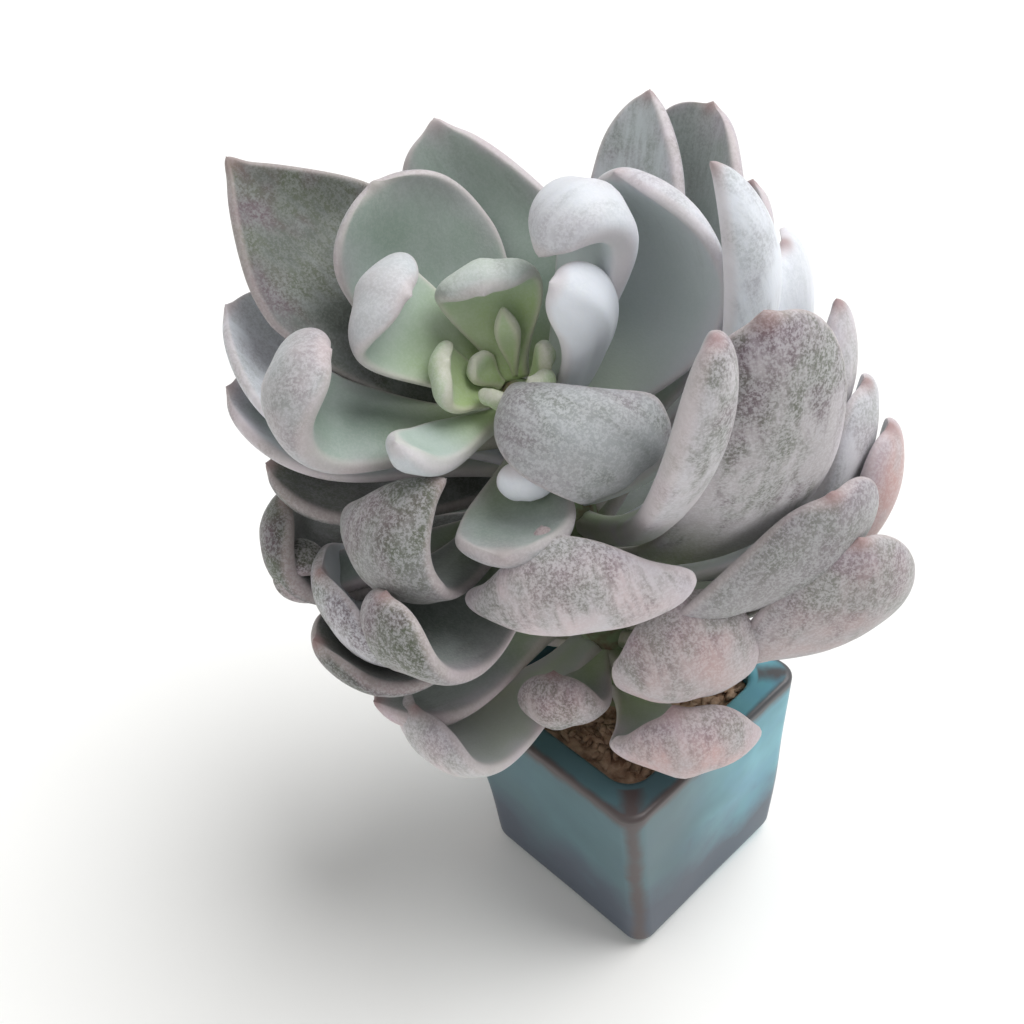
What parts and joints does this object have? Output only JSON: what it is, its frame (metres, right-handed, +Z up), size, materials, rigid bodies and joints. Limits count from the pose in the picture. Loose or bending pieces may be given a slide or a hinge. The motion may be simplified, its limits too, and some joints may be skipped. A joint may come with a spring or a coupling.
{
  "type": "potted echeveria",
  "caption": "Roly poly echeveria with thick powdery leaves curling up round a short leaning stem, in a small square glazed pot.",
  "frame": {"origin": "centre of the pot's underside", "axes": "+Z up along the pot, X and Y square to the pot's sides; the plant faces the corner between +X and -Y"},
  "size_m": [0.143, 0.1317, 0.2127],
  "materials": {
    "glazed_pot": "satin turquoise glaze breaking brown at the edges",
    "bark_mix": "rough shredded bark and coir",
    "green_stem": "smooth waxy green",
    "bloomed_leaf": "matt powdery bloom over waxy skin"
  },
  "bodies": {
    "root": {"pot": "glazed_pot", "planting_mix": "bark_mix", "inner_leaf_1": "bloomed_leaf", "inner_leaf_2": "bloomed_leaf", "inner_leaf_3": "bloomed_leaf", "inner_leaf_4": "bloomed_leaf", "inner_leaf_5": "bloomed_leaf", "inner_leaf_6": "bloomed_leaf", "inner_leaf_7": "bloomed_leaf", "inner_leaf_8": "bloomed_leaf", "inner_leaf_9": "bloomed_leaf", "inner_leaf_10": "bloomed_leaf", "inner_leaf_11": "bloomed_leaf", "inner_leaf_12": "bloomed_leaf", "upper_leaf_1": "bloomed_leaf", "upper_leaf_2": "bloomed_leaf", "upper_leaf_3": "bloomed_leaf", "upper_leaf_4": "bloomed_leaf", "upper_leaf_5": "bloomed_leaf", "upper_leaf_6": "bloomed_leaf", "upper_leaf_7": "bloomed_leaf", "upper_leaf_8": "bloomed_leaf", "upper_leaf_9": "bloomed_leaf", "upper_leaf_10": "bloomed_leaf", "upper_leaf_11": "bloomed_leaf", "upper_leaf_12": "bloomed_leaf", "upper_leaf_13": "bloomed_leaf", "middle_leaf_1": "bloomed_leaf", "middle_leaf_2": "bloomed_leaf", "middle_leaf_3": "bloomed_leaf", "middle_leaf_4": "bloomed_leaf", "middle_leaf_5": "bloomed_leaf", "middle_leaf_6": "bloomed_leaf", "middle_leaf_7": "bloomed_leaf", "middle_leaf_8": "bloomed_leaf", "middle_leaf_9": "bloomed_leaf", "middle_leaf_10": "bloomed_leaf", "middle_leaf_11": "bloomed_leaf", "middle_leaf_12": "bloomed_leaf", "lower_leaf_1": "bloomed_leaf", "lower_leaf_2": "bloomed_leaf", "lower_leaf_3": "bloomed_leaf", "lower_leaf_4": "bloomed_leaf", "lower_leaf_5": "bloomed_leaf", "lower_leaf_6": "bloomed_leaf", "lower_leaf_7": "bloomed_leaf", "lower_leaf_8": "bloomed_leaf", "lower_leaf_9": "bloomed_leaf", "lower_leaf_10": "bloomed_leaf", "lower_leaf_11": "bloomed_leaf", "lower_leaf_12": "bloomed_leaf", "lower_leaf_13": "bloomed_leaf", "lower_leaf_14": "bloomed_leaf", "lower_leaf_15": "bloomed_leaf", "lower_leaf_16": "bloomed_leaf", "stem_and_heart": "green_stem"}
  },
  "joints": []
}
